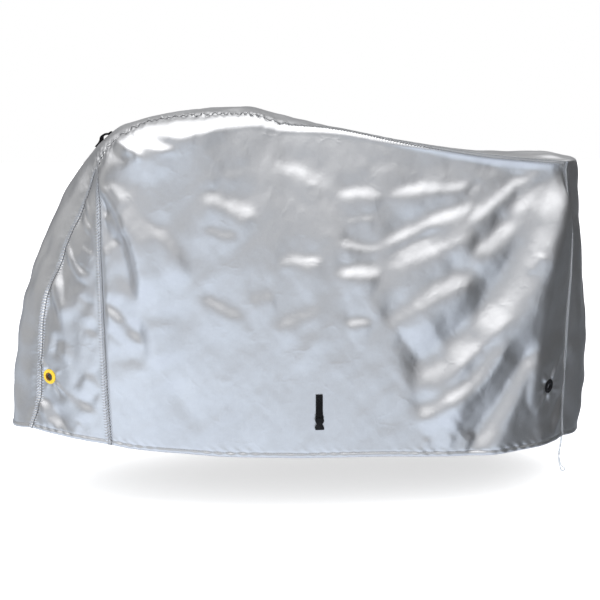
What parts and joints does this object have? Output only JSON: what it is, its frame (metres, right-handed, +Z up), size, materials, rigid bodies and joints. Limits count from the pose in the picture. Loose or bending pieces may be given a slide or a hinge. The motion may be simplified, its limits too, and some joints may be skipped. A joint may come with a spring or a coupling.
{
  "type": "bicycle cover",
  "caption": "Fitted bicycle cover of silver coated cloth with a gathered top strip, eyelets, side straps with a buckle, a front loop and a draw cord at its rear hem.",
  "frame": {"origin": "underside of the top strip at its highest point, on the centre line", "axes": "+X towards the rear wheel, +Y towards the far side with the buckle's plug, +Z up"},
  "size_m": [1.7689, 0.5743, 1.1067],
  "materials": {
    "silver_cloth": "satin silver coating",
    "black_webbing": "matte webbing",
    "black_plastic": "satin",
    "yellow_plastic": "gloss",
    "cord_white": "braided cord"
  },
  "bodies": {
    "root": {"side_near": "silver_cloth", "side_far": "silver_cloth", "front_near": "silver_cloth", "front_far": "silver_cloth", "gusset": "silver_cloth", "eyelet_front_near": "yellow_plastic", "eyelet_front_far": "yellow_plastic", "eyelet_rear_near": "black_plastic", "eyelet_rear_far": "black_plastic", "strap_near": "black_webbing", "strap_far": "black_webbing", "buckle_socket": "black_plastic", "buckle_plug": "black_plastic", "front_loop": "black_webbing", "draw_cord": "cord_white"}
  },
  "joints": []
}
